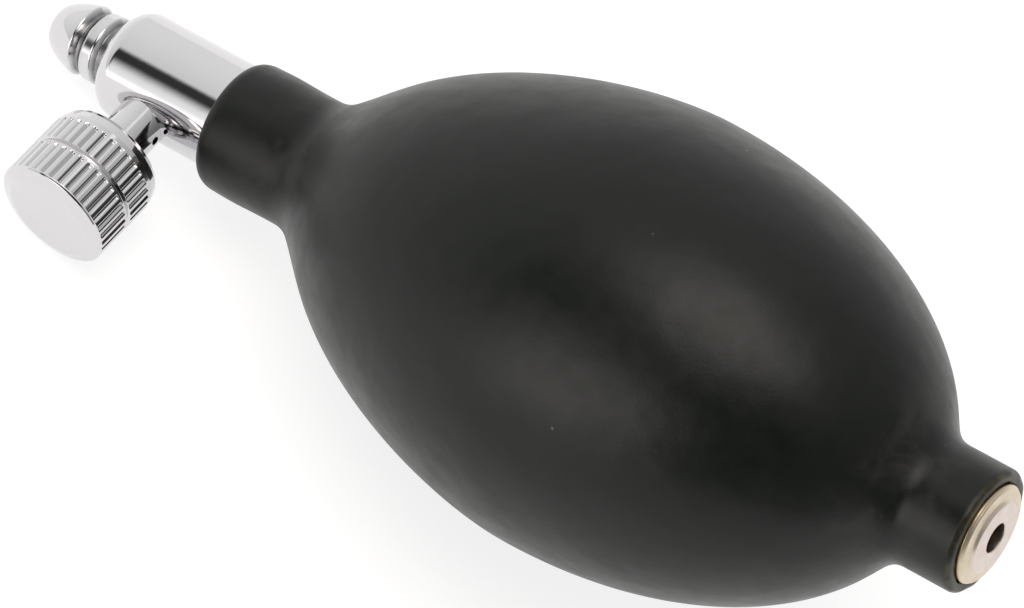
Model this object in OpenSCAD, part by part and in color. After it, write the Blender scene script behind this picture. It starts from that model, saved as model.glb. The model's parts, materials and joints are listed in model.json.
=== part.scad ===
// Hand bulb blower: a moulded rubber bulb with an intake check valve in one neck
// and, in the other, a plated valve with a hose barb and a knurled release screw.
// Millimetres. The bulb lies on a table: it rests on its belly, on the tip of the
// barb and on the rim of the release knob, and +Z is up.

/* [Bulb] */
// Diameter of the belly
bulb_d = 50; // [46:1:54]
// Length of the belly's half that tapers to the release valve
valve_half = 40; // [38:0.5:42]
// How full that half is: 2 is an ellipse, less is more pointed
valve_fullness = 1.65; // [1.5:0.05:1.9]
// Length of the belly's half that tapers to the intake valve
intake_half = 40.2; // [39:0.5:42]
// How full that half is
intake_fullness = 2.07; // [1.9:0.01:2.3]
// Thickness of the rubber
wall = 2.6; // [2:0.1:3]

/* [Necks] */
// Outer radius of the neck that holds the release valve
valve_neck_r = 7.5; // [7.3:0.1:8]
// Distance from the belly's middle to that neck's rim
valve_rim = 50.9; // [50:0.1:51.5]
// Outer radius of the neck that holds the intake valve
intake_neck_r = 7.1; // [6.8:0.1:7.6]
// Distance from the belly's middle to that neck's rim
intake_rim = 46.3; // [46:0.1:46.6]

/* [Release valve] */
// Radius of the plated valve body
body_r = 6.2; // [6.1:0.05:6.3]
// How far the valve sits off the bulb's axis, away from the knob
valve_offset = 0.45; // [0:0.05:0.5]
// Distance from the belly's middle to the knob's axis
knob_station = 59.6; // [59:0.1:59.8]
// Distance from the belly's middle to the end of the valve body
body_end = 67; // [66.6:0.1:67.2]
// Radius of the hose barb's lands
barb_r = 4.05; // [3.85:0.05:4.2]
// Radius of the air passage through the barb
barb_bore_r = 1.25; // [1:0.05:1.4]

/* [Release knob] */
// Radius of the knob over its knurling
knob_r = 6.75; // [6.5:0.05:6.9]
// Distance from the valve's axis to the back of the knob
knob_back = 10.7; // [10.5:0.1:11.2]
// Length of the knob
knob_len = 11.2; // [10.8:0.1:11.5]
// Number of knurl ridges round the knob
knurl_count = 36; // [24:4:48]

/* [Squeeze] */
// Radius of the part of the wall that the thumb presses in
press_r = 15; // [12:0.5:16]
// Gap round the pressed part, so that it can move
press_gap = 0.3; // [0.2:0.05:0.4]

/* [Hidden] */
bulb_r = bulb_d / 2;
valve_fillet = 5.5;
intake_fillet = 1.6;
rim_round = 0.8;
profile_steps = 22;
$fn = 48;

// The plated valve, measured outwards from the belly's middle along its axis
tail_end = 38.5;
socket_floor = 62.5;
ball_r = 3.175 / 2;
seat_hole_r = 1.2;
seat_face = 42.6;
chamber_end = 48.6;
chamber_r = 2.2;
passage_r = 1.25;
plug_r = 4.5;
gasket_t = 0.4;
plug_groove_r = plug_r - 0.9;
barb_stub_r = 2.4;
barb_shank_r = 3.5;
barb_tip = 75.5;
barb_tip_r = 1.9;

// The release screw, measured outwards from the valve's axis along its own axis
port_floor = 3.2;
bonnet_r = 2.95;
bonnet_end = knob_back - 0.4;
stem_r = 1.9;
running = 0.05;
needle_seat_r = 1;
needle_gap = 0.03;
collar_start = 3.7;
collar_end = 4.3;
o_ring_at = 8.4;
o_ring_wire = 0.3;
knob_bore = 5;
spindle_end = knob_back + knob_bore;
knob_front = knob_back + knob_len;
knob_edge = knob_front - 0.7;

// The intake valve, measured from the belly's middle along the bulb's axis
stem_start = 36.5;
intake_stem_r = 4.6;
intake_face = 48.1;
intake_flange_r = 5.6;
intake_flange_at = 45.7;
intake_hole_r = 1.75;
intake_bore_r = 2.6;
intake_seat_at = 43.6;
intake_seat_end = 45;
intake_filter_end = 45.4;
ball_sit = sqrt(ball_r * ball_r - seat_hole_r * seat_hole_r) + needle_gap;

// Radius of the belly alone at a distance x from its middle
function belly(x, r, half, fullness) = r * sqrt(max(0, 1 - pow(abs(x) / half, fullness)));

// The larger of two radii, with a smooth fillet where they are close
function blended(a, b, fillet) =
    let (t = max(0, min(1, 0.5 + 0.5 * (b - a) / fillet)))
    a * (1 - t) + b * t + fillet * t * (1 - t);

// Outer radius of the moulding, with its necks
function skin(x) = x < 0
    ? blended(valve_neck_r, belly(x, bulb_r, valve_half, valve_fullness), valve_fillet)
    : blended(intake_neck_r, belly(x, bulb_r, intake_half, intake_fullness), intake_fillet);

// Radius of the air space
function hollow(x) = x < 0
    ? belly(x, bulb_r - wall, valve_half - wall, valve_fullness)
    : belly(x, bulb_r - wall, intake_half - wall, intake_fullness);

// Places along an end of the bulb, closer together towards its neck
function stations(reach) = [for (i = [0 : profile_steps]) reach * sin(90 * i / profile_steps)];
function reversed(list) = [for (i = [len(list) - 1 : -1 : 0]) list[i]];

valve_straight = valve_rim - rim_round;
intake_straight = intake_rim - rim_round;
hollow_share = 0.955;
outer_x = concat([for (x = reversed(stations(valve_straight))) -x],
                 [for (x = stations(intake_straight)) if (x > 0) x]);
inner_x = concat([for (x = reversed(stations((valve_half - wall) * hollow_share))) -x],
                 [for (x = stations((intake_half - wall) * hollow_share)) if (x > 0) x]);
rim_arc = [for (a = [0 : 22.5 : 90]) [rim_round * (cos(a) - 1), rim_round * sin(a)]];
bulb_outside = concat(
    [for (p = reversed(rim_arc)) [valve_neck_r + p.x, -valve_straight - p.y]],
    [for (x = outer_x) if (abs(x) < valve_straight) [skin(x), x]],
    [for (p = rim_arc) [intake_neck_r + p.x, intake_straight + p.y]]);
valve_core_r = body_r - valve_offset - 0.4;
bulb_inside = concat(
    [[valve_core_r, -valve_rim], [valve_core_r, inner_x[0]]],
    [for (x = inner_x) [hollow(x), x]],
    [[intake_stem_r, inner_x[len(inner_x) - 1]], [intake_stem_r, intake_flange_at],
     [intake_flange_r, intake_flange_at], [intake_flange_r, intake_rim]]);

// Barb outline, radius and distance: two lands, each with a cone in front of it
// and a short slope behind it
barb_nose = barb_tip - 0.6;
barb_nose_r = 2.7;
barb_outline = [
    [barb_stub_r, socket_floor], [barb_stub_r, body_end], [barb_shank_r, body_end],
    [barb_shank_r, 68.2], [barb_r, 68.6], [barb_r, 69], [barb_shank_r, 70.4],
    [barb_shank_r, 70.9], [barb_r, 71.3], [barb_r, 71.7],
    for (a = [0 : 18 : 90])
        [barb_tip_r + (barb_nose_r - barb_tip_r) * cos(a),
         barb_nose + (barb_tip - barb_nose) * sin(a)]];

// Intake plug outline outside its stem: a flange with a bevel and a raised face
intake_outline = [
    [intake_stem_r, intake_flange_at], [intake_flange_r, intake_flange_at], [intake_flange_r, 47.2],
    [5.2, 47.55], [4.15, 47.7], [4, intake_face]];

// How the bulb lies: it pitches until the barb touches the table, then it rolls
// until the knob's rim does. Both angles are found by halving an interval.
function belly_low(pitch) = min([for (p = bulb_outside) sin(pitch) * p.y - cos(pitch) * p.x]);
function barb_low(pitch) = min([for (p = barb_outline) -sin(pitch) * p.y - cos(pitch) * p.x]);
function knob_low(pitch, roll, h, r) =
    -sin(pitch) * knob_station - cos(pitch) * sin(roll) * (h - valve_offset)
    - r * sqrt(pow(sin(pitch), 2) + pow(cos(pitch) * cos(roll), 2));
function pitch_found(low, high, n) =
    let (mid = (low + high) / 2)
    n == 0 ? mid
    : barb_low(mid) > belly_low(mid) ? pitch_found(mid, high, n - 1)
    : pitch_found(low, mid, n - 1);
function roll_found(low, high, n) =
    let (mid = (low + high) / 2)
    n == 0 ? mid
    : knob_low(pitch, mid, knob_edge, knob_r) > belly_low(pitch) ? roll_found(mid, high, n - 1)
    : roll_found(low, mid, n - 1);
halvings = 24;
pitch = pitch_found(5, 40, halvings);
roll = roll_found(0, 20, halvings);
lift = -belly_low(pitch);
front_reach = max([for (p = concat(bulb_outside, intake_outline))
    cos(pitch) * p.y + sin(pitch) * p.x]);
back_reach = max([for (p = barb_outline) cos(pitch) * p.y + sin(pitch) * p.x]);
centre_x = (back_reach - front_reach) / 2;

// Puts a piece that is modelled in the bulb's own frame on the table
module at_rest() {
    translate([centre_x, 0, lift])
        rotate([roll, -pitch, 0])
            children();
}

// Local +Z along the bulb's axis, towards the intake valve
module on_bulb_axis() {
    at_rest()
        rotate([0, 90, 0])
            children();
}

// Local +Z along the release valve's axis, away from the bulb
module on_valve_axis() {
    at_rest()
        translate([0, valve_offset, 0])
            rotate([0, -90, 0])
                children();
}

// Local +Z along the release screw's axis, out of the valve
module on_knob_axis() {
    at_rest()
        translate([-knob_station, valve_offset, 0])
            rotate([90, 0, 0])
                children();
}

module tube_between(low, high, outer, inner) {
    translate([0, 0, low])
        difference() {
            cylinder(h = high - low, r = outer);
            translate([0, 0, -1])
                cylinder(h = high - low + 2, r = inner);
        }
}

module rod_between(low, high, r) {
    translate([0, 0, low])
        cylinder(h = high - low, r = r);
}

module turned(outline) {
    rotate_extrude()
        polygon(outline);
}

// The whole moulding before the valve's bore is opened and the press wall parted
module moulding() {
    rotate([0, 90, 0])
        turned(concat(bulb_outside, reversed(bulb_inside)));
}

module bulb() {
    color("#2c2d2c")
        at_rest()
            difference() {
                moulding();
                translate([0, valve_offset, 0])
                    rotate([0, -90, 0])
                        rod_between(valve_half - wall - 2.2, valve_rim + 1, body_r);
                cylinder(h = bulb_d, r = press_r);
            }
}

// The part of the wall that gives under the thumb
module press_wall() {
    color("#343534")
        at_rest()
            intersection() {
                moulding();
                cylinder(h = bulb_d, r = press_r - press_gap);
            }
}

// Round brass body: a ribbed tail in the neck, a domed end round the barb's socket
module valve_body() {
    groove_r = body_r - 0.4;
    grooves = [40.5, 43.5, 46.5];
    dome_r = 2.4;
    dome_h = 2.3;
    dome = [for (a = [0 : 15 : 90])
        [body_r - dome_r * (1 - cos(a)), body_end - dome_h * (1 - sin(a))]];
    rib_steps = [for (g = grooves)
        each [[body_r, g], [groove_r, g + 0.3], [groove_r, g + 1.2], [body_r, g + 1.5]]];
    color("#d9d9dd")
        difference() {
            on_valve_axis()
                difference() {
                    turned(concat([[0, tail_end], [body_r - 0.5, tail_end], [body_r, tail_end + 0.5]],
                                  rib_steps, dome, [[0, body_end]]));
                    rod_between(tail_end - 1, seat_face, plug_r);
                    rod_between(seat_face - 1, chamber_end, chamber_r);
                    rod_between(chamber_end - 1, body_end, passage_r);
                    rod_between(socket_floor - gasket_t, body_end + 1, barb_stub_r);
                }
            on_knob_axis() {
                rod_between(port_floor, body_r + 1, bonnet_r);
                rod_between(0, port_floor + 1, needle_seat_r);
            }
        }
}

// Screwed into the valve's tail: it holds the strainer outside and the seat inside
module outlet_plug() {
    flange_at = tail_end - 1;
    color("#c9b27a")
        on_valve_axis()
            difference() {
                turned([[0, flange_at], [4.9, flange_at], [5.2, flange_at + 0.3], [5.2, tail_end],
                        [plug_r, tail_end], [plug_r, tail_end + 1], [plug_groove_r, tail_end + 1],
                        [plug_groove_r, tail_end + 2], [plug_r, tail_end + 2], [plug_r, seat_face - 1],
                        [0, seat_face - 1]]);
                rod_between(flange_at - 1, seat_face, seat_hole_r + 0.3);
                rod_between(flange_at - 1, flange_at + 0.6, 3.2);
            }
}

module outlet_plug_seal() {
    color("#3a3a3a")
        on_valve_axis()
            tube_between(tail_end + 1, tail_end + 2, plug_r, plug_groove_r);
}

// Strainer: a thin disc with rings of holes
module strainer(disc_r, thickness, hole_r) {
    difference() {
        cylinder(h = thickness, r = disc_r);
        for (ring = [0, 1])
            for (i = [0 : (ring == 0 ? 5 : 10)])
                rotate(i * 360 / (ring == 0 ? 6 : 11))
                    translate([disc_r * (ring == 0 ? 0.36 : 0.72), 0, -1])
                        cylinder(h = thickness + 2, r = hole_r);
    }
}

module outlet_filter() {
    color("#b9b9b4")
        on_valve_axis()
            translate([0, 0, tail_end - 0.8])
                strainer(3.2, 0.4, 0.28);
}

module outlet_seat() {
    color("#55504a")
        on_valve_axis()
            tube_between(seat_face - 1, seat_face, plug_r, seat_hole_r);
}

module outlet_ball() {
    color("#c8ccd0")
        on_valve_axis()
            translate([0, 0, seat_face + ball_sit])
                sphere(r = ball_r);
}

// Coil spring from low to high, swept along its helix, with closed end turns
module coil_spring(low, high, coil_r, wire_r, turns) {
    sides = 8;
    per_turn = 20;
    steps = turns * per_turn;
    rise = high - low - 2 * wire_r;
    function height(t) = low + wire_r + wire_r * 2.1 * min(t, 1)
        + (rise - wire_r * 4.2) * max(0, min(1, (t - 1) / (turns - 2)))
        + wire_r * 2.1 * max(0, t - turns + 1);
    points = [for (i = [0 : steps]) for (j = [0 : sides - 1])
        let (turn = i / per_turn, a = 360 * turn, b = 360 * j / sides, r = coil_r + wire_r * cos(b))
        [r * cos(a), r * sin(a), height(turn) + wire_r * sin(b)]];
    walls = [for (i = [0 : steps - 1]) for (j = [0 : sides - 1])
        [i * sides + j, i * sides + (j + 1) % sides,
         (i + 1) * sides + (j + 1) % sides, (i + 1) * sides + j]];
    ends = [[for (j = [sides - 1 : -1 : 0]) j], [for (j = [0 : sides - 1]) steps * sides + j]];
    polyhedron(points, concat(walls, ends), convexity = 10);
}

module outlet_spring() {
    color("#aeb2b6")
        on_valve_axis()
            coil_spring(seat_face + ball_sit + ball_r * 0.8, chamber_end, 1.25, 0.16, 5);
}

module hose_barb() {
    color("#dcdce0")
        on_valve_axis()
            difference() {
                turned(concat([[0, socket_floor]], barb_outline, [[0, barb_tip]]));
                rod_between(socket_floor - 1, barb_tip + 1, barb_bore_r);
            }
}

module barb_gasket() {
    color("#7a3b2a")
        on_valve_axis()
            tube_between(socket_floor - gasket_t, socket_floor, barb_stub_r, passage_r + 0.1);
}

// Sleeve that guides the release screw, with a vent beside the valve body
module bonnet() {
    vent_at = 7.2;
    color("#d2d2d6")
        on_knob_axis()
            difference() {
                turned([[0, port_floor + gasket_t], [bonnet_r, port_floor + gasket_t],
                        [bonnet_r, bonnet_end - 0.3], [bonnet_r - 0.3, bonnet_end], [0, bonnet_end]]);
                rod_between(port_floor, bonnet_end + 1, stem_r + running);
                translate([0, 0, vent_at])
                    rotate([0, 90, 0])
                        cylinder(h = bonnet_r + 1, r = 0.5);
            }
}

module bonnet_gasket() {
    color("#7a3b2a")
        on_knob_axis()
            tube_between(port_floor, port_floor + gasket_t, bonnet_r, 2);
}

// Cone that closes the side port; its shank swivels in the end of the spindle
module release_needle() {
    tip_r = 0.45;
    tip_at = port_floor - (needle_seat_r - needle_gap - tip_r);
    collar_r = collar_start - tip_at + tip_r;
    color("#c2a15a")
        on_knob_axis()
            turned([[0, tip_at], [tip_r, tip_at], [collar_r, collar_start], [collar_r, collar_end],
                    [0.7, collar_end], [0.7, 6], [0, 6]]);
}

// Release screw: a relieved end that lets air past, a plain thread and a seal groove
module spindle() {
    relief_r = 1.5;
    relief_end = 7.5;
    groove_r = stem_r - 2 * o_ring_wire;
    groove = o_ring_wire + running;
    color("#c6c9cc")
        on_knob_axis()
            difference() {
                turned([[0, collar_end + running], [relief_r, collar_end + running],
                        [relief_r, relief_end], [stem_r, relief_end], [stem_r, o_ring_at - groove],
                        [groove_r, o_ring_at - groove], [groove_r, o_ring_at + groove],
                        [stem_r, o_ring_at + groove], [stem_r, spindle_end], [0, spindle_end]]);
                rod_between(collar_end - 1, 6.2, 0.7 + running);
            }
}

module spindle_o_ring() {
    color("#2a2a2a")
        on_knob_axis()
            translate([0, 0, o_ring_at])
                rotate_extrude()
                    translate([stem_r - o_ring_wire + running / 2, 0])
                        circle(r = o_ring_wire - running / 2, $fn = 24);
}

// One knurled band: ridges with narrow V grooves between them
module knurled_band(low, high) {
    depth = 0.42;
    pitch_angle = 360 / knurl_count;
    translate([0, 0, low])
        linear_extrude(high - low)
            polygon([for (i = [0 : knurl_count - 1])
                for (s = [[-0.5, depth], [-0.28, 0], [0.28, 0]])
                    let (r = knob_r - s[1], a = (i + s[0]) * pitch_angle)
                    [r * cos(a), r * sin(a)]]);
}

// Knurled knob: a rounded back, two knurled bands with a groove between, a bevelled face
module release_knob() {
    core_r = knob_r - 0.6;
    band_start = knob_back + 2.4;
    band_gap = [knob_back + 5.65, knob_back + 6.35];
    color("#dedee2")
        on_knob_axis()
            difference() {
                union() {
                    turned([[0, knob_back], [knob_r - 1.75, knob_back], [knob_r - 0.9, knob_back + 0.2],
                            [knob_r - 0.45, knob_back + 0.8], [knob_r - 0.1, knob_back + 1.6],
                            [knob_r - 0.1, band_start], [core_r, band_start], [core_r, knob_edge],
                            [knob_r - 0.1, knob_edge], [knob_r - 0.25, knob_front - 0.5],
                            [knob_r - 1.55, knob_front], [0, knob_front]]);
                    knurled_band(band_start, band_gap[0]);
                    knurled_band(band_gap[1], knob_edge);
                }
                rod_between(knob_back - 1, spindle_end, stem_r);
            }
}

// Nickel-plated plug in the far neck: ribbed stem, bevelled flange, air hole
module intake_body() {
    groove_r = intake_stem_r - 0.35;
    grooves = [38, 40.5, 43];
    rib_steps = [for (g = grooves)
        each [[intake_stem_r, g], [groove_r, g + 0.3], [groove_r, g + 1], [intake_stem_r, g + 1.3]]];
    color("#cbbfae")
        on_bulb_axis()
            difference() {
                turned(concat([[0, stem_start], [groove_r, stem_start], [intake_stem_r, stem_start + 0.5]],
                              rib_steps, intake_outline, [[0, intake_face]]));
                rod_between(stem_start - 1, intake_filter_end, intake_bore_r);
                rod_between(intake_seat_end, intake_face + 1, intake_hole_r);
            }
}

module intake_filter() {
    color("#8f8b80")
        on_bulb_axis()
            translate([0, 0, intake_seat_end])
                strainer(intake_bore_r, intake_filter_end - intake_seat_end, 0.24);
}

module intake_seat() {
    color("#55504a")
        on_bulb_axis()
            tube_between(intake_seat_at, intake_seat_end, intake_bore_r, seat_hole_r);
}

module intake_ball() {
    color("#c8ccd0")
        on_bulb_axis()
            translate([0, 0, intake_seat_at - ball_sit])
                sphere(r = ball_r);
}

// Pierced disc that keeps the intake ball in its bore
module intake_cage() {
    color("#bfb49c")
        on_bulb_axis()
            translate([0, 0, 38.6])
                difference() {
                    cylinder(h = 1, r = intake_bore_r);
                    for (i = [0 : 2])
                        rotate(i * 120)
                            translate([1.5, 0, -1])
                                cylinder(h = 3, r = 0.65);
                }
}

bulb();
press_wall();
valve_body();
outlet_plug();
outlet_plug_seal();
outlet_filter();
outlet_seat();
outlet_ball();
outlet_spring();
hose_barb();
barb_gasket();
bonnet();
bonnet_gasket();
release_needle();
spindle();
spindle_o_ring();
release_knob();
intake_body();
intake_filter();
intake_seat();
intake_ball();
intake_cage();
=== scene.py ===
import json
import math

import bpy
from mathutils import Matrix, Vector


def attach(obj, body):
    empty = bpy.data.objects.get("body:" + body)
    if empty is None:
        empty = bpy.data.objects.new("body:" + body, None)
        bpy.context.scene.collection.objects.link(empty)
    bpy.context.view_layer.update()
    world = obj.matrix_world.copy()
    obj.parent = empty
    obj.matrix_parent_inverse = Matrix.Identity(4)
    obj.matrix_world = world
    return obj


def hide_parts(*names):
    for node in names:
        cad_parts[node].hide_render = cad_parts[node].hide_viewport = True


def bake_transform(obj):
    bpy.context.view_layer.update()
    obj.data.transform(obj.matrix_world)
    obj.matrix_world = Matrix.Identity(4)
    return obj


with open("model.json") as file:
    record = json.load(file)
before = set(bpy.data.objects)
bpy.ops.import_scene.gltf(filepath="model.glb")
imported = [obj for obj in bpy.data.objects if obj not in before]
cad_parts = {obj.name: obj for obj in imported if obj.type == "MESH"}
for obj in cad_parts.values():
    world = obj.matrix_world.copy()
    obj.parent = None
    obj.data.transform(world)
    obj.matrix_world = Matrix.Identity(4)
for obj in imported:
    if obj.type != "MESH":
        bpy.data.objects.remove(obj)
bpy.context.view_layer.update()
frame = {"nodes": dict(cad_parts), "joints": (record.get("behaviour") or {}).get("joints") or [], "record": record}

MM = 0.001


# ---------------------------------------------------------------- the frame

record = frame["record"]
joints = {j["name"]: j for j in frame["joints"]}
barb_mount = next(m for m in record["mounts"] if m["name"] == "hose_barb")

# All lengths below are in millimetres, as in the CAD part. The valve's axis passes the
# belly's middle at this distance, on the side away from the knob.
VALVE_OFFSET = 0.45
# Along the valve's axis from the belly's middle: the barb's mount, the end of the spring's
# chamber, and the outlet ball's side where the spring sits
BARB_MIDDLE = 70.15
CHAMBER_END = 48.6
SPRING_START = 44.939
VALVE_R = 6.2
PASSAGE_R = 1.25
# Along the knob's axis from the valve's axis: the floor of the bonnet's hole, the vent in
# the bonnet, and the two knurled bands
PORT_FLOOR = 3.2
VENT_HEIGHT = 7.2
BANDS = ((13.1, 16.35), (17.05, 21.2))
BONNET_R = 2.95
VENT_R = 0.5
KNOB_R = 6.75
RIDGES = 36
KNURL_DEPTH = 0.3
# How far the groove between the bands goes in
BAND_GROOVE = 0.42

valve_out = Vector(barb_mount["axis"]).normalized()
knob_out = Vector(joints["knob_turn"]["axis"]).normalized()
knob_centre = Vector(joints["knob_turn"]["pos_m"])
press_in = Vector(joints["press_slide"]["axis"]).normalized()
intake_out = -valve_out
belly_up = -press_in
belly_centre = (Vector(barb_mount["pos_m"]) - valve_out * BARB_MIDDLE * MM
                + knob_out * VALVE_OFFSET * MM)
valve_base = belly_centre - knob_out * VALVE_OFFSET * MM


def axis_frame(origin, z_axis, x_axis):
    """Matrix whose Z runs along z_axis and whose X is as near to x_axis as it can be."""
    z = z_axis.normalized()
    x = (x_axis - z * x_axis.dot(z)).normalized()
    y = z.cross(x)
    turn = Matrix((x, y, z)).transposed().to_4x4()
    return Matrix.Translation(origin) @ turn


valve_frame = axis_frame(valve_base, valve_out, belly_up)
bulb_frame = axis_frame(belly_centre, intake_out, belly_up)
knob_frame = axis_frame(knob_centre, knob_out, valve_out)


# ---------------------------------------------------------------- mesh tools

def rounded(outline, steps=5, hold=0.04):
    """Outline of (radius, height, rounding) with each corner turned into an arc, and a
    holding point just past each arc so that flats stay flat in the shading."""
    points = []
    last = len(outline) - 1
    for i, (r, z, rounding) in enumerate(outline):
        here = Vector((r, z))
        if i in (0, last) or rounding == 0:
            points.append(here)
            continue
        back = Vector(outline[i - 1][:2]) - here
        ahead = Vector(outline[i + 1][:2]) - here
        half = back.angle(ahead) / 2
        cut = min(rounding / math.tan(half), 0.46 * back.length, 0.46 * ahead.length)
        start = here + back.normalized() * cut
        end = here + ahead.normalized() * cut
        margin = min(hold, 0.03 * back.length, 0.03 * ahead.length)
        points.append(start + back.normalized() * margin)
        for k in range(steps + 1):
            t = k / steps
            points.append(start * (1 - t) ** 2 + here * 2 * t * (1 - t) + end * t * t)
        points.append(end + ahead.normalized() * margin)
    return points


def lathe(name, points, matrix, segments, closed=False, flute=None, local=False):
    """Turns points of (radius, height), in millimetres, about the matrix's Z axis.
    flute(angle, height, radius) may give a new radius at an angle. A local piece keeps
    the axis as its own Z, for materials that follow it."""
    verts, rings = [], []
    for p in points:
        if p[0] < 1e-4:
            rings.append([len(verts)])
            verts.append((0, 0, p[1] * MM))
            continue
        ring = []
        for s in range(segments):
            a = 2 * math.pi * s / segments
            r = flute(a, p[1], p[0]) if flute else p[0]
            ring.append(len(verts))
            verts.append((r * math.cos(a) * MM, r * math.sin(a) * MM, p[1] * MM))
        rings.append(ring)
    faces = []
    pairs = list(zip(rings, rings[1:]))
    if closed:
        pairs.append((rings[-1], rings[0]))
    for low, high in pairs:
        for s in range(segments):
            n = (s + 1) % segments
            if len(low) == 1 and len(high) == 1:
                continue
            if len(low) == 1:
                faces.append((low[0], high[n], high[s]))
            elif len(high) == 1:
                faces.append((low[s], low[n], high[0]))
            else:
                faces.append((low[s], low[n], high[n], high[s]))
    mesh = bpy.data.meshes.new(name)
    mesh.from_pydata(verts, [], faces)
    mesh.validate()
    mesh.polygons.foreach_set("use_smooth", [True] * len(mesh.polygons))
    mesh.update()
    piece = bpy.data.objects.new(name, mesh)
    if local:
        piece.matrix_world = matrix
    else:
        mesh.transform(matrix)
    bpy.context.scene.collection.objects.link(piece)
    return piece


def carve(piece, cutter):
    """Cuts the cutter's shape out of the piece, then throws the cutter away."""
    cut = piece.modifiers.new("carve", "BOOLEAN")
    cut.operation = "DIFFERENCE"
    cut.solver = "EXACT"
    cut.object = cutter
    uncut = piece.data
    evaluated = piece.evaluated_get(bpy.context.evaluated_depsgraph_get())
    piece.data = bpy.data.meshes.new_from_object(evaluated)
    piece.modifiers.clear()
    bpy.data.objects.remove(cutter)
    bpy.data.meshes.remove(uncut)
    piece.data.polygons.foreach_set("use_smooth", [True] * len(piece.data.polygons))
    piece.data.set_sharp_from_angle(angle=math.radians(50))


def place(piece, body, slot, material, *nodes):
    """The piece rides on a body, stands for CAD nodes and takes a material."""
    piece.data.materials.append(material)
    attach(piece, body)
    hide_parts(*nodes)


# ---------------------------------------------------------------- material tools

PLATE = (0.70, 0.692, 0.702)


class Shader:
    """A node material with a Principled shader, and short ways to add to it."""

    def __init__(self, name, **constants):
        self.material = bpy.data.materials.new(name)
        self.material.use_nodes = True
        self.tree = self.material.node_tree
        self.surface = self.tree.nodes["Principled BSDF"]
        for socket, value in constants.items():
            self.surface.inputs[socket.replace("_", " ")].default_value = value
        self.place = self.add("ShaderNodeTexCoord").outputs["Object"]

    def add(self, kind, **settings):
        node = self.tree.nodes.new(kind)
        for key, value in settings.items():
            setattr(node, key, value)
        return node

    def link(self, output, target):
        self.tree.links.new(output, target)

    def noise(self, scale, detail=3.0, roughness=0.55, stretch=(1, 1, 1), distortion=0.0):
        moved = self.add("ShaderNodeMapping")
        moved.inputs["Scale"].default_value = stretch
        self.link(self.place, moved.inputs["Vector"])
        node = self.add("ShaderNodeTexNoise")
        node.inputs["Scale"].default_value = scale
        node.inputs["Detail"].default_value = detail
        node.inputs["Roughness"].default_value = roughness
        node.inputs["Distortion"].default_value = distortion
        self.link(moved.outputs["Vector"], node.inputs["Vector"])
        return node.outputs["Fac"]

    def remap(self, value, low, high, to_low, to_high, smooth=False):
        node = self.add("ShaderNodeMapRange")
        node.interpolation_type = "SMOOTHSTEP" if smooth else "LINEAR"
        numbers = {"From Min": low, "From Max": high, "To Min": to_low, "To Max": to_high}
        for key, number in numbers.items():
            node.inputs[key].default_value = number
        self.link(value, node.inputs["Value"])
        return node.outputs["Result"]

    def math(self, operation, a, b):
        node = self.add("ShaderNodeMath", operation=operation)
        for socket, value in zip(node.inputs, (a, b)):
            if isinstance(value, (int, float)):
                socket.default_value = value
            else:
                self.link(value, socket)
        return node.outputs["Value"]

    def vector(self, operation, a, b=None):
        """A vector operation; b may be plain numbers. DOT_PRODUCT and LENGTH give a value."""
        node = self.add("ShaderNodeVectorMath", operation=operation)
        self.link(a, node.inputs[0])
        if isinstance(b, tuple):
            node.inputs[1].default_value = b
        elif b is not None:
            self.link(b, node.inputs[1])
        return node.outputs["Value" if operation in ("DOT_PRODUCT", "LENGTH") else "Vector"]

    def mix(self, factor, a, b):
        node = self.add("ShaderNodeMix", data_type="RGBA")
        self.link(factor, node.inputs["Factor"])
        for socket, value in ((node.inputs["A"], a), (node.inputs["B"], b)):
            if isinstance(value, tuple):
                socket.default_value = (*value, 1)
            else:
                self.link(value, socket)
        return node.outputs["Result"]

    def bump(self, height, strength, distance, under=None):
        node = self.add("ShaderNodeBump")
        node.inputs["Strength"].default_value = strength
        node.inputs["Distance"].default_value = distance
        self.link(height, node.inputs["Height"])
        if under is not None:
            self.link(under, node.inputs["Normal"])
        return node.outputs["Normal"]

    def plate(self):
        """Colour and roughness of bright plate with a faint haze."""
        haze = self.noise(160, 4, 0.6)
        colour = self.mix(haze, PLATE, tuple(c * 0.93 for c in PLATE))
        return colour, self.remap(haze, 0.3, 0.7, 0.045, 0.08)

    def finish(self, colour, roughness, normal):
        for value, socket in ((colour, "Base Color"), (roughness, "Roughness"), (normal, "Normal")):
            self.link(value, self.surface.inputs[socket])
        return self.material


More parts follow.
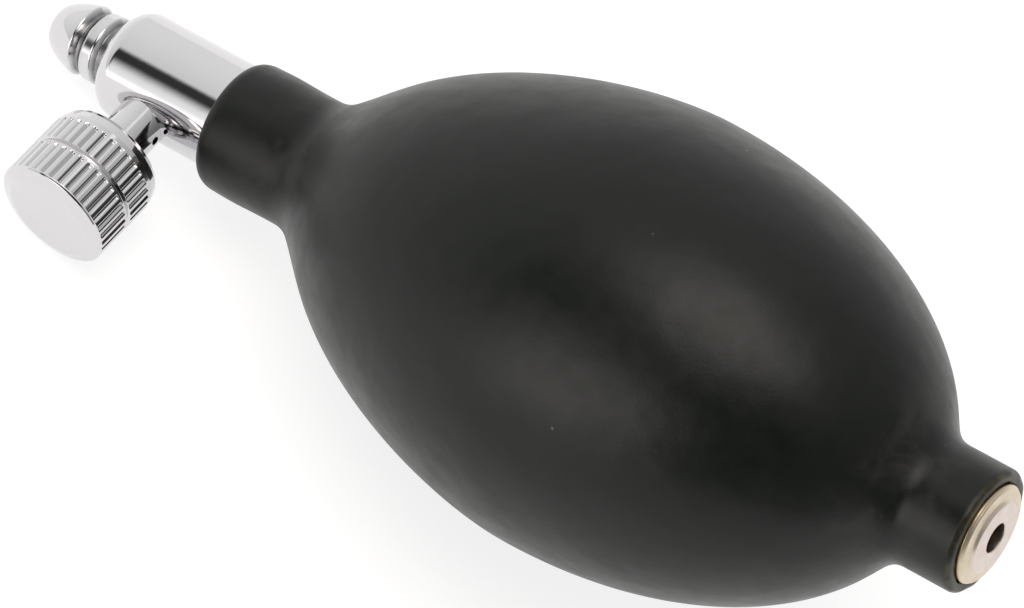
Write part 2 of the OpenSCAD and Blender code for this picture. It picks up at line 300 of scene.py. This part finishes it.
def bulb_rubber():
    """Matt moulded black rubber: uneven skin, pale bloom by the necks, fine grain, dust."""
    s = Shader("bulb_rubber", Specular_IOR_Level=0.30, Sheen_Weight=0.04, Sheen_Roughness=0.32)
    cloud = s.noise(55, 4, 0.6)
    mottle = s.noise(420, 4, 0.6)
    grain = s.noise(3200, 3, 0.6)
    dark = s.mix(cloud, (0.0008, 0.0024, 0.0012), (0.0022, 0.0042, 0.0024))
    colour = s.mix(s.remap(mottle, 0.35, 0.75, 0, 0.5), dark, (0.0052, 0.0066, 0.0042))
    # Bloom: a pale powder that stays where each neck meets the belly, 33 to 46 mm out
    offset = s.vector("SUBTRACT", s.place, tuple(belly_centre))
    station = s.vector("DOT_PRODUCT", offset, tuple(intake_out))
    along = s.math("ABSOLUTE", station, 0)
    near = s.math("MULTIPLY", s.remap(along, 33 * MM, 38 * MM, 0, 1, smooth=True),
                  s.remap(along, 40 * MM, 46 * MM, 1, 0.12, smooth=True))
    patches = s.remap(s.noise(210, 4, 0.6, distortion=0.4), 0.44, 0.72, 0, 1)
    bloom = s.math("MULTIPLY", near, patches)
    colour = s.mix(s.math("MULTIPLY", bloom, 0.85), colour, (0.026, 0.025, 0.023))
    # Olive dirt on the lip round the intake plug
    dirt = s.math("MULTIPLY", s.remap(station, 46.1 * MM, 46.75 * MM, 0, 0.8, smooth=True),
                  s.remap(s.noise(600, 3), 0.38, 0.6, 0.15, 1))
    colour = s.mix(dirt, colour, (0.050, 0.043, 0.018))
    cells = s.add("ShaderNodeTexVoronoi")
    cells.inputs["Scale"].default_value = 330
    s.link(s.place, cells.inputs["Vector"])
    speck = s.remap(cells.outputs["Distance"], 0.045, 0.075, 1, 0)
    where = s.remap(s.noise(120, 2), 0.56, 0.62, 0, 1)
    speck = s.math("MULTIPLY", speck, where)
    colour = s.mix(s.math("MULTIPLY", speck, 0.45), colour, (0.16, 0.155, 0.145))
    roughness = s.remap(cloud, 0.3, 0.7, 0.33, 0.40)
    roughness = s.math("ADD", roughness, s.remap(mottle, 0.3, 0.7, -0.03, 0.04))
    roughness = s.math("ADD", roughness, s.math("MULTIPLY", bloom, 0.15))
    normal = s.bump(s.noise(120, 2, 0.5), 0.3, 0.0007)
    normal = s.bump(mottle, 0.25, 0.00007, normal)
    normal = s.bump(grain, 0.4, 0.00003, normal)
    return s.finish(colour, roughness, normal)


def chrome():
    """Bright plate over turned brass: haze, faint polishing marks, tiny pits."""
    s = Shader("chrome_plate", Metallic=1.0)
    marks = s.noise(2200, 2, 0.6, stretch=(1, 1, 0.15))
    colour, plate_roughness = s.plate()
    roughness = s.math("ADD", plate_roughness, s.remap(marks, 0.35, 0.75, 0, 0.02))
    normal = s.bump(s.noise(260, 2), 0.12, 0.00006)
    normal = s.bump(marks, 0.15, 0.000006, normal)
    return s.finish(colour, roughness, normal)


def knurled_chrome():
    """The same plate with painted shade deep in the knurling, where it is rougher too."""
    s = Shader("knurled_chrome_plate", Metallic=1.0)
    plate, plate_roughness = s.plate()
    offset = s.vector("SUBTRACT", s.place, tuple(knob_centre))
    radius = s.vector("LENGTH", s.vector("CROSS_PRODUCT", offset, tuple(knob_out)))
    height = s.vector("DOT_PRODUCT", offset, tuple(knob_out))
    deep, shallow = (KNOB_R - 0.32) * MM, (KNOB_R - 0.14) * MM
    # Painted shade: the plate darkens towards the bottom of the knurling's grooves, inside the two bands
    knurl_shade = s.remap(radius, deep, shallow, 0.6, 0)
    for low, high in BANDS:
        middle, half = (low + high) / 2 * MM, (high - low) / 2 * MM
        away = s.math("ABSOLUTE", s.math("SUBTRACT", height, middle), 0)
        inside = s.remap(away, half - 0.05 * MM, half, 1, 0)
        bands = inside if low == BANDS[0][0] else s.math("ADD", bands, inside)
    knurl_shade = s.math("MULTIPLY", knurl_shade, bands)
    knurl_shade = s.math("MULTIPLY", knurl_shade, s.remap(s.noise(900, 3), 0.3, 0.6, 0.8, 1.0))
    colour = s.mix(knurl_shade, plate, (0.16, 0.16, 0.165))
    roughness = s.math("ADD", plate_roughness, s.math("MULTIPLY", knurl_shade, 0.25))
    return s.finish(colour, roughness, s.bump(s.noise(260, 2), 0.12, 0.00006))


def grooved_chrome(root, crest, shoulder):
    """The same plate, darkened by painted shade and some dirt in the barb's grooves, which end at the shoulder."""
    s = Shader("grooved_chrome_plate", Metallic=1.0)
    plate, plate_roughness = s.plate()
    offset = s.vector("SUBTRACT", s.place, tuple(valve_base))
    radius = s.vector("LENGTH", s.vector("CROSS_PRODUCT", offset, tuple(valve_out)))
    along = s.vector("DOT_PRODUCT", offset, tuple(valve_out))
    # Painted shade with some dirt: darker and rougher towards the bottom of each groove
    deep = s.remap(radius, (root + 0.1) * MM, (crest - 0.12) * MM, 1, 0)
    grooves_end = s.remap(along, (shoulder - 0.2) * MM, (shoulder + 0.05) * MM, 1, 0)
    deep = s.math("MULTIPLY", deep, grooves_end)
    deep = s.math("MULTIPLY", deep, s.remap(s.noise(700, 3), 0.3, 0.6, 0.75, 1.0))
    colour = s.mix(deep, plate, (0.20, 0.20, 0.205))
    roughness = s.math("ADD", plate_roughness, s.math("MULTIPLY", deep, 0.22))
    return s.finish(colour, roughness, s.bump(s.noise(260, 2), 0.12, 0.00006))


def turned_nickel():
    """Warm nickel plate with turning rings, browned by tarnish and painted shade where it meets the rubber."""
    s = Shader("turned_nickel", Metallic=1.0)
    split = s.add("ShaderNodeSeparateXYZ")
    s.link(s.place, split.inputs["Vector"])
    along = split.outputs["Z"]
    radius = s.vector("LENGTH", s.vector("MULTIPLY", s.place, (1, 1, 0)))
    blotch = s.noise(700, 3)
    smear = s.noise(320, 3, 0.6)
    # Tarnish and painted shade: brown on the flange's side next to the rubber
    tarnish_and_shade = s.remap(along, 46.95 * MM, 47.35 * MM, 1, 0, smooth=True)
    tarnish_and_shade = s.math("MULTIPLY", tarnish_and_shade, s.remap(blotch, 0.25, 0.6, 0.75, 1))
    face = s.mix(blotch, (0.70, 0.62, 0.575), (0.61, 0.53, 0.48))
    yellowed = s.mix(smear, (0.74, 0.655, 0.535), (0.52, 0.44, 0.31))
    step = s.remap(radius, 3.95 * MM, 4.3 * MM, 0, 1, smooth=True)
    colour = s.mix(step, face, yellowed)
    colour = s.mix(tarnish_and_shade, colour, (0.30, 0.215, 0.085))
    rings = s.math("SINE", s.math("MULTIPLY", radius, 2 * math.pi / (0.16 * MM)), 0)
    normal = s.bump(rings, 0.25, 0.000012)
    roughness = s.remap(blotch, 0.3, 0.7, 0.28, 0.40)
    return s.finish(colour, roughness, normal)


def worn_brass():
    s = Shader("turned_brass", Metallic=1.0)
    haze = s.noise(500, 3)
    colour = s.mix(haze, (0.62, 0.44, 0.19), (0.48, 0.32, 0.13))
    return s.finish(colour, s.remap(haze, 0.3, 0.7, 0.22, 0.38), s.bump(s.noise(2500), 0.2, 0.00001))


def polished_steel():
    s = Shader("polished_steel", Metallic=1.0)
    haze = s.noise(600, 3)
    colour = s.mix(haze, (0.60, 0.61, 0.63), (0.52, 0.53, 0.55))
    return s.finish(colour, s.remap(haze, 0.3, 0.7, 0.10, 0.18), s.bump(s.noise(3000), 0.1, 0.000005))


def strainer_mesh():
    s = Shader("strainer_mesh", Metallic=1.0)
    haze = s.noise(900, 3)
    colour = s.mix(haze, (0.36, 0.31, 0.22), (0.22, 0.18, 0.12))
    return s.finish(colour, s.remap(haze, 0.3, 0.7, 0.35, 0.5), s.bump(s.noise(4000), 0.4, 0.00002))


def small_rubber(name, dark, pale):
    s = Shader(name)
    mottle = s.noise(700, 4)
    return s.finish(s.mix(mottle, dark, pale), s.remap(mottle, 0.3, 0.7, 0.5, 0.65),
                    s.bump(s.noise(3000), 0.3, 0.00002))


def red_fibre():
    s = Shader("red_fibre")
    strands = s.noise(900, 4, stretch=(1, 1, 6))
    return s.finish(s.mix(strands, (0.26, 0.07, 0.035), (0.36, 0.12, 0.06)),
                    s.remap(strands, 0.3, 0.7, 0.6, 0.75), s.bump(strands, 0.4, 0.00003))


CHROME = chrome()
RUBBER = bulb_rubber()
NICKEL = turned_nickel()
BY_SLOT = {
    "rubber": RUBBER,
    "chrome": CHROME,
    "nickel_brass": NICKEL,
    "brass": worn_brass(),
    "bearing_steel": polished_steel(),
    "wire_mesh": strainer_mesh(),
    "seal_rubber": small_rubber("seal_rubber", (0.012, 0.012, 0.012), (0.03, 0.03, 0.03)),
    "seat_rubber": small_rubber("seat_rubber", (0.07, 0.05, 0.04), (0.12, 0.09, 0.07)),
    "fibre": red_fibre(),
}


def finish_cad_nodes():
    """Each CAD node takes its slot's material."""
    for part in record["subparts"]:
        mesh = frame["nodes"][part["node"]].data
        mesh.materials.clear()
        mesh.materials.append(BY_SLOT[part["material_slot"]])


# ---------------------------------------------------------------- the bulb

BULB_R = 25.0
WALL = 2.6
# Each end has a side of the middle, a belly's half length and fullness, a neck's radius and
# its fillet to the belly, the rim's distance, and a rounded lip's depth and length.
VALVE_END = dict(side=-1, half=39.55, fullness=1.65, neck=7.48, fillet=5.5, rim=50.9,
                 lip_depth=0.85, lip_length=1.5)
INTAKE_END = dict(side=1, half=40.0, fullness=2.07, neck=7.1, fillet=2.3, rim=46.9,
                  lip_depth=0.75, lip_length=0.75)
# The valve's neck swells a little where the valve body's ribs grip it
SWELL = 0.13
SWELL_AT = -46.8
SWELL_WIDTH = 2.0
TRIMMED_FROM = 46.6
# The bore of each neck, from the air space to the rim, as (radius, distance). The intake's
# has a recess for the plug's flange.
BORE = 6.22
VALVE_BORE = [(BORE, 35.6), (BORE, 50.8), (BORE + 0.06, 50.9)]
INTAKE_BORE = [(4.63, 35.9), (4.63, 45.68), (5.75, 45.72), (5.75, 46.7), (5.81, 46.84), (5.96, 46.9)]


def belly(x, r, half, fullness):
    """Radius of the belly at x; a fullness of 2 gives an ellipse."""
    return r * math.sqrt(max(0.0, 1 - (abs(x) / half) ** fullness))


def blended(a, b, fillet):
    """The larger of two radii, with a soft fillet where they meet."""
    t = max(0.0, min(1.0, 0.5 + 0.5 * (b - a) / fillet))
    return a * (1 - t) + b * t + fillet * t * (1 - t)


def unsmoothed_skin(x):
    end = VALVE_END if x < 0 else INTAKE_END
    neck = end["neck"] + SWELL * math.exp(-((x - SWELL_AT) / SWELL_WIDTH) ** 2)
    return blended(neck, belly(x, BULB_R, end["half"], end["fullness"]), end["fillet"])


def skin(x):
    """Outer radius, averaged over 3.2 mm so that each neck flows into the belly."""
    return sum(unsmoothed_skin(x + 0.32 * k) for k in range(-5, 6)) / 11


def spread(reach, steps):
    """Distances from 0 to reach that crowd together at the far end, where the shape turns."""
    return [reach * math.sin(math.pi / 2 * i / steps) for i in range(steps + 1)]


def neck_bore(angle, height, radius):
    """The valve's bore sits off the bulb's axis, away from the knob. The intake neck's
    lip is trimmed a little unevenly."""
    if height > TRIMMED_FROM:
        return radius + 0.05 * math.sin(7 * angle) + 0.04 * math.sin(16 * angle + 1)
    in_valve_bore = height < -35 and radius < BORE + 0.1
    if not in_valve_bore:
        return radius
    off = bulb_frame.to_3x3().inverted() @ (valve_base - belly_centre) / MM
    lead = angle - math.atan2(off.y, off.x)
    return off.length * math.cos(lead) + math.sqrt(radius ** 2 - (off.length * math.sin(lead)) ** 2)


def make_bulb():
    """One moulding: outer skin, rounded rims, bores and the air space inside."""
    outer, inner = [], []
    for end, bore in ((VALVE_END, VALVE_BORE), (INTAKE_END, INTAKE_BORE)):
        side = end["side"]
        reach = end["rim"] - end["lip_length"]
        run = [(skin(side * x), side * x) for x in spread(reach, 110)[1:]]
        lip = []
        for k in range(1, 10):
            a = math.pi / 2 * k / 9
            lip.append((skin(side * reach) + end["lip_depth"] * (math.cos(a) - 1),
                        side * (reach + end["lip_length"] * math.sin(a))))
        outer.append(run + lip)
        run = [(belly(x, BULB_R - WALL, end["half"] - WALL, end["fullness"]), side * x)
               for x in spread(bore[0][1], 40)[1:]]
        inner.append(run + [(r, side * x) for r, x in bore])
    outside = outer[0][::-1] + [(skin(0), 0)] + outer[1]
    inside = inner[1][::-1] + [(BULB_R - WALL, 0)] + inner[0]
    piece = lathe("bulb_moulding", outside + inside, bulb_frame, 160, closed=True, flute=neck_bore)
    piece.data.materials.append(RUBBER)
    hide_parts("bulb", "press_wall")
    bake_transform(piece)


# ---------------------------------------------------------------- the release valve

def arc_points(middle_r, middle_z, reach_r, reach_z, start, end, steps):
    """Points of a quarter round in an outline: reach_r and reach_z are its two radii."""
    angles = (math.radians(start + (end - start) * k / steps) for k in range(steps + 1))
    return [(middle_r + reach_r * math.cos(a), middle_z + reach_z * math.sin(a), 0) for a in angles]


def make_valve_body():
    """Turned body with a domed end, bored for the barb, the spring and the outlet plug."""
    end, dome_r, dome_height = 67.0, 2.4, 2.3
    dome = arc_points(VALVE_R - dome_r, end - dome_height, dome_r, dome_height, 0, 90, 14)
    # Close rings by the bonnet's hole keep the plate's shading even round it
    rings = [(VALVE_R, z, 0) for z in (52, 56.3, 57.4, 58.5, 59.6, 60.7, 61.8, 62.9, 64.6)]
    bores = [(2.42, end, 0.05), (2.42, 62.1, 0), (PASSAGE_R, 62.1, 0), (PASSAGE_R, CHAMBER_END, 0),
             (2.2, CHAMBER_END, 0), (2.2, 42.6, 0), (4.5, 42.6, 0)]
    outline = [(4.5, 38.5, 0), (VALVE_R, 38.5, 0.4)] + rings + dome + bores
    piece = lathe("valve_body_plated", rounded(outline, 8), valve_frame, 144, closed=True)
    # The bonnet's hole, and the port that the needle closes
    hole_r = BONNET_R + 0.01
    port = [(0, 0.3), (1.0, 0.3), (1.0, PORT_FLOOR), (hole_r, PORT_FLOOR), (hole_r, 8), (0, 8)]
    carve(piece, lathe("port_cutter", port, knob_frame, 96))
    place(piece, "bulb_and_valve", "chrome", CHROME, "valve_body")


def make_outlet_spring():
    """Wire wound from the outlet ball to the end of its chamber."""
    coil, wire, turns = 1.25, 0.16, 5
    per_turn, sides = 32, 12
    low, high = SPRING_START, CHAMBER_END
    rise = high - low - 2 * wire
    # How far each closed end turn climbs
    end_rise = 2.1 * wire
    steps = turns * per_turn
    verts = []
    for i in range(steps + 1):
        turn = i / per_turn
        open_share = max(0, min(1, (turn - 1) / (turns - 2)))
        height = (low + wire + end_rise * min(turn, 1) + end_rise * max(0, turn - turns + 1)
                  + (rise - 2 * end_rise) * open_share)
        a = 2 * math.pi * turn
        for j in range(sides):
            b = 2 * math.pi * j / sides
            r = coil + wire * math.cos(b)
            z = height + wire * math.sin(b)
            verts.append((r * math.cos(a) * MM, r * math.sin(a) * MM, z * MM))
    faces = []
    for i in range(steps):
        here, ahead = i * sides, (i + 1) * sides
        for j in range(sides):
            n = (j + 1) % sides
            faces.append((here + j, ahead + j, ahead + n, here + n))
    faces.append(tuple(range(sides)))
    faces.append(tuple(steps * sides + j for j in reversed(range(sides))))
    mesh = bpy.data.meshes.new("outlet_spring_wire")
    mesh.from_pydata(verts, [], faces)
    mesh.transform(valve_frame)
    mesh.polygons.foreach_set("use_smooth", [True] * len(mesh.polygons))
    mesh.set_sharp_from_angle(angle=math.radians(60))
    piece = bpy.data.objects.new("outlet_spring_wire", mesh)
    bpy.context.scene.collection.objects.link(piece)
    mesh.materials.append(BY_SLOT["bearing_steel"])
    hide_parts("outlet_spring")
    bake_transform(piece)


def make_hose_barb():
    """Two beads with a groove behind each; the front one tapers to a rounded tip."""
    root, crest, tip_r = 3.45, 4.13, 2.2
    shoulder, tip = 71.4, 75.5
    outline = [(PASSAGE_R, 62.5, 0), (2.4, 62.5, 0), (2.4, 66.98, 0), (root, 67.0, 0.05),
               (root, 68.1, 0.25), (crest - 0.08, 68.6, 0.35), (crest - 0.16, 69.95, 0.4),
               (root, 70.45, 0.35), (root, 70.85, 0.2), (crest, shoulder, 0.3)]
    for k in range(19):
        u = 0.12 + 0.88 * math.sin(math.pi / 2 * k / 18)
        share = (1 - u ** 1.25) ** 0.66
        outline.append((tip_r + (crest - tip_r) * share, shoulder + (tip - shoulder) * u, 0))
    outline += [(PASSAGE_R, tip, 0.2), (PASSAGE_R, tip - 1, 0)]
    piece = lathe("hose_barb_plated", rounded(outline, 8), valve_frame, 112, closed=True)
    place(piece, "bulb_and_valve", "chrome", grooved_chrome(root, crest, shoulder), "hose_barb")


def make_bonnet():
    """Sleeve round the release screw, with a vent towards the bulb that lets the air off."""
    low, high, bore = 3.6, 10.3, 1.95
    outline = [(bore, low, 0), (BONNET_R, low, 0), (BONNET_R, 6.5, 0), (BONNET_R, 7.9, 0),
               (BONNET_R, high, 0.35), (bore, high, 0.1), (bore, high - 0.5, 0)]
    piece = lathe("bonnet_plated", rounded(outline, 6), knob_frame, 128, closed=True)
    vent = [(0, 1.5), (VENT_R, 1.5), (VENT_R, 4), (0, 4)]
    vent_frame = axis_frame(knob_centre + knob_out * VENT_HEIGHT * MM, -valve_out, knob_out)
    carve(piece, lathe("vent_cutter", vent, vent_frame, 48))
    place(piece, "bulb_and_valve", "chrome", CHROME, "bonnet")


def knurl(angle, height, radius):
    """Straight knurling: V grooves that fade out at the ends of each band."""
    if radius < KNOB_R - 0.02:
        return radius
    depth = 0.0
    for low, high in BANDS:
        inside = min(height - low, high - height)
        if inside > -0.001:
            depth = KNURL_DEPTH * min(1.0, max(0.0, inside) / 0.1)
    turn = (angle * RIDGES / (2 * math.pi)) % 1.0
    groove = max(0.0, 1 - abs(turn - 0.5) / 0.27)
    return radius - depth * groove ** 0.8


def make_release_knob():
    """Rounded back, two knurled bands with a groove between, and a bevelled flat face."""
    r, core = KNOB_R, KNOB_R - BAND_GROOVE
    back, face = 10.7, 21.9
    # The spindle fills the bore
    outline = [(0, 15.7, 0), (1.9, 15.7, 0), (1.9, back, 0), (5.0, back, 0.2), (5.9, 10.95, 0.4),
               (6.35, 11.55, 0.6), (r - 0.1, 12.5, 0.4), (r - 0.1, 13.06, 0.02)]
    for low, high in BANDS:
        outline += [(r, low, 0.03), (r, low + 0.1, 0), (r, low + 0.25, 0), (r, (low + high) / 2, 0),
                    (r, high - 0.25, 0), (r, high - 0.1, 0), (r, high, 0.03)]
        if low == BANDS[0][0]:
            outline += [(core, high + 0.22, 0.1), (core, BANDS[1][0] - 0.22, 0.1)]
    outline += [(r - 0.1, 21.24, 0.02), (r - 0.22, 21.42, 0.1), (5.25, face, 0.35), (3.4, face, 0),
                (0, face, 0)]
    piece = lathe("release_knob_plated", rounded(outline, 4), knob_frame, RIDGES * 12, flute=knurl)
    place(piece, "release_screw", "chrome", knurled_chrome(), "release_knob")


def make_intake_plug():
    """Turned plug: stem in the neck, flange on the rim, raised face with the air hole."""
    outline = [(2.6, 36.5, 0), (4.25, 36.5, 0.1), (4.58, 37, 0), (4.58, 45.7, 0), (5.7, 45.75, 0.05),
               (5.7, 47.1, 0.2), (5.4, 47.5, 0.2), (4.25, 47.65, 0.12), (3.95, 47.98, 0.2),
               (1.78, 48.02, 0.02), (1.7, 47.92, 0.02), (1.7, 45.4, 0), (2.6, 45.4, 0)]
    piece = lathe("intake_plug_turned", rounded(outline, 5), bulb_frame, 144, closed=True, local=True)
    place(piece, "bulb_and_valve", "nickel_brass", NICKEL, "intake_body")


# ---------------------------------------------------------------- stage, light and camera

FLOOR_HALF = 3.0
FLOOR_GLOW = 0.80
FLOOR_TONE = 0.32


def make_floor():
    """Pale lit table: it glows a little, so that the object's shadow stays faint."""
    mesh = bpy.data.meshes.new("floor")
    h = FLOOR_HALF
    mesh.from_pydata([(-h, -h, 0), (h, -h, 0), (h, h, 0), (-h, h, 0)], [], [(0, 1, 2, 3)])
    floor = bpy.data.objects.new("floor", mesh)
    s = Shader("pale_floor", Roughness=0.6, Specular_IOR_Level=0.0, Emission_Strength=FLOOR_GLOW)
    s.surface.inputs["Base Color"].default_value = (FLOOR_TONE, FLOOR_TONE, FLOOR_TONE, 1)
    s.surface.inputs["Emission Color"].default_value = (1, 1, 1, 1)
    floor.data.materials.append(s.material)
    bpy.context.scene.collection.objects.link(floor)


# The studio round the object, by compass direction and height in degrees. The room is
# bright behind and on the left, and dark where the photographer stands.
ROOM_BRIGHT = 148
ROOM_LOW, ROOM_HIGH = 0.22, 0.97
DARK_SIDE = (-100, 44)
DARK_INNER, DARK_OUTER = 39.5, 46
DARK_LEVEL = 0.04
# Soft boxes: direction, half width, half height, share of that where the light starts
# to fade and where it ends, brightness
SOFT_BOXES = (((-109, 12), 24, 25, 0.72, 1.17, 1.05), ((-106, 18), 13, 20, 0.5, 1.5, 2.2),
              ((-130, 85), 18, 18, 0.55, 1.4, 3.6))
WARM = (1.0, 0.93, 0.88)


def compass(azimuth, elevation):
    """Unit vector towards a direction, with 0 degrees along +X and 90 along +Y."""
    az, el = math.radians(azimuth), math.radians(elevation)
    return Vector((math.cos(el) * math.cos(az), math.cos(el) * math.sin(az), math.sin(el)))


def make_light():
    """World shader: a room that gets brighter one way, a dark side and three soft boxes."""
    world = bpy.data.worlds.new("studio")
    world.use_nodes = True
    tree = world.node_tree
    sky = tree.nodes["Background"]
    heading = tree.nodes.new("ShaderNodeTexCoord").outputs["Generated"]

    def value(kind, *inputs, **settings):
        node = tree.nodes.new(kind)
        for key, setting in settings.items():
            setattr(node, key, setting)
        for socket, given in zip(node.inputs, inputs):
            if isinstance(given, bpy.types.NodeSocket):
                tree.links.new(given, socket)
            elif given is not None:
                socket.default_value = given
        return node

    def along(direction):
        product = value("ShaderNodeVectorMath", heading, direction, operation="DOT_PRODUCT")
        return product.outputs["Value"]

    def ramp(number, low, high, to_low, to_high, smooth="SMOOTHSTEP"):
        return value("ShaderNodeMapRange", number, low, high, to_low, to_high,
                     interpolation_type=smooth).outputs["Result"]

    def calc(operation, a, b):
        return value("ShaderNodeMath", a, b, operation=operation).outputs["Value"]

    room = ramp(along(compass(ROOM_BRIGHT, 0)), -1, 1, ROOM_LOW, ROOM_HIGH, "LINEAR")
    lit = ramp(along(compass(*DARK_SIDE)), math.cos(math.radians(DARK_OUTER)),
               math.cos(math.radians(DARK_INNER)), 1, 0)
    level = calc("ADD", calc("MULTIPLY", room, lit), DARK_LEVEL)
    for direction, half_width, half_height, fade, end, brightness in SOFT_BOXES:
        ahead = compass(*direction)
        side = Vector((0, 0, 1)).cross(ahead).normalized()
        rise = ahead.cross(side)
        share = ramp(along(ahead), 0, 0.1, 0, 1)
        for edge, half in ((side, half_width), (rise, half_height)):
            across = calc("ABSOLUTE", along(edge), 0)
            reach = math.sin(math.radians(half))
            share = calc("MULTIPLY", share, ramp(across, fade * reach, end * reach, 1, 0))
        level = calc("ADD", level, calc("MULTIPLY", share, brightness))
    # The room that the camera looks at is plain and pale
    seen = tree.nodes.new("ShaderNodeLightPath").outputs["Is Camera Ray"]
    level = calc("ADD", calc("MULTIPLY", level, calc("SUBTRACT", 1.0, seen)), seen)
    tree.links.new(level, sky.inputs["Strength"])
    # The lamps are a little warmer than the room
    tint = value("ShaderNodeMix", ramp(level, 1.2, 3.0, 0, 1), data_type="RGBA")
    tint.inputs["A"].default_value = (1, 1, 1, 1)
    tint.inputs["B"].default_value = (*WARM, 1)
    tree.links.new(tint.outputs["Result"], sky.inputs["Color"])
    bpy.context.scene.world = world


CAMERA_DISTANCE = 0.7
CAMERA_ELEVATION = 58.63
CAMERA_AZIMUTH = -73.08
CAMERA_ROLL = 23.91
LENS = 234.5
# How far the belly's middle lies right of and below the middle of the view
BELLY_RIGHT = 10.9 * MM
BELLY_BELOW = 2.85 * MM


def make_camera():
    """Stands where the photographer stood, tilted about its line of sight."""
    back = compass(CAMERA_AZIMUTH, CAMERA_ELEVATION)
    roll = math.radians(CAMERA_ROLL)
    level = Vector((0, 0, 1)).cross(back).normalized()
    upright = back.cross(level)
    right = level * math.cos(roll) + upright * math.sin(roll)
    up = back.cross(right)
    aim = belly_centre - right * BELLY_RIGHT + up * BELLY_BELOW
    data = bpy.data.cameras.new("camera")
    data.lens = LENS
    data.sensor_width = 36
    data.clip_end = 20
    camera = bpy.data.objects.new("camera", data)
    turn = Matrix((right, up, back)).transposed().to_4x4()
    camera.matrix_world = Matrix.Translation(aim + back * CAMERA_DISTANCE) @ turn
    bpy.context.scene.collection.objects.link(camera)
    bpy.context.scene.camera = camera


make_camera()
finish_cad_nodes()
make_bulb()
make_valve_body()
make_outlet_spring()
make_hose_barb()
make_bonnet()
make_release_knob()
make_intake_plug()
make_floor()
make_light()
bpy.context.scene.view_settings.view_transform = "Standard"
